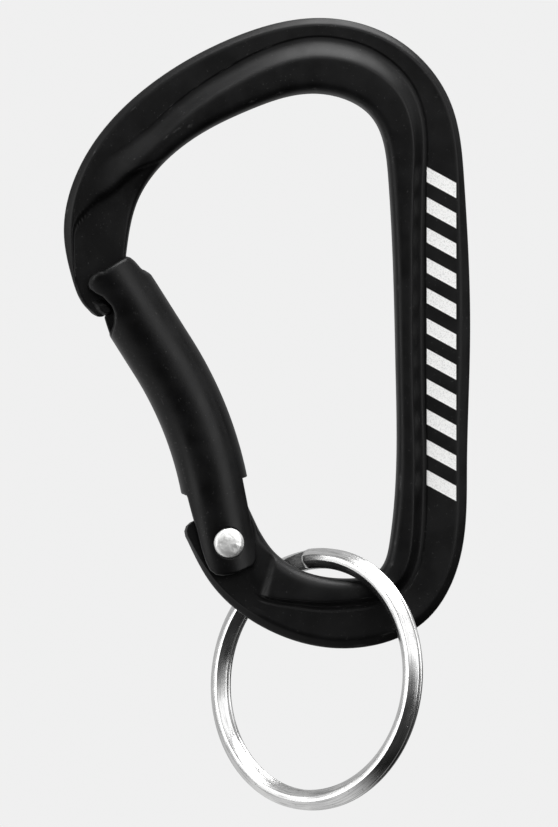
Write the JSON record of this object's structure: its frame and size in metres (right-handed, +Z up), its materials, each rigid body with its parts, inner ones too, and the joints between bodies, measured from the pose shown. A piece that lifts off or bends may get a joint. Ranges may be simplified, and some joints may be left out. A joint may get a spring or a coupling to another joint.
{
  "type": "carabiner keyring",
  "caption": "Bent-gate snap carabiner with an offset frame, a sprung keylock gate and a split ring for keys hanging in its lower bend.",
  "frame": {"origin": "the highest point of the carabiner's opening, where a cord or hook carries it, at mid thickness", "axes": "+Z up as it hangs, +X from the gate to the spine, +Y from the front face to the back"},
  "size_m": [0.0387, 0.016, 0.0754],
  "materials": {
    "anodised_frame": "satin black anodised forging",
    "anodised_gate": "satin black anodised bar",
    "rivet_steel": "bright, lightly hammered head",
    "spring_steel": "plain drawn wire",
    "ring_steel": "nickel plated, fine drawing lines"
  },
  "bodies": {
    "frame": {"frame_body": "anodised_frame"},
    "gate": {"gate": "anodised_gate", "gate_rivet": "rivet_steel", "gate_spring": "spring_steel"},
    "plunger": {"spring_plunger": "spring_steel"},
    "key_ring": {"split_ring": "ring_steel"}
  },
  "joints": [
    {"name": "gate_hinge", "type": "hinge", "parent": "frame", "child": "gate", "pos_m": [-0.00865, 0, -0.04271], "axis": [0, 1, 0], "range_deg": [0, 30], "stiffness_Nm_per_rad": 0.03, "springref_deg": -34.38},
    {"name": "plunger_slide", "type": "slide", "parent": "gate", "child": "plunger", "axis": [-0.2924, 0, 0.9563], "range_m": [0, 0.00105], "deforming": ["gate_spring"]},
    {"name": "ring_swing", "type": "hinge", "parent": "frame", "child": "key_ring", "pos_m": [-0.0004, 0, -0.0472], "axis": [1, 0, 0], "range_deg": [-35, 15]}
  ],
  "couplings": [
    {"joint": "plunger_slide", "follows": "gate_hinge", "m_per_rad": 0.002}
  ]
}
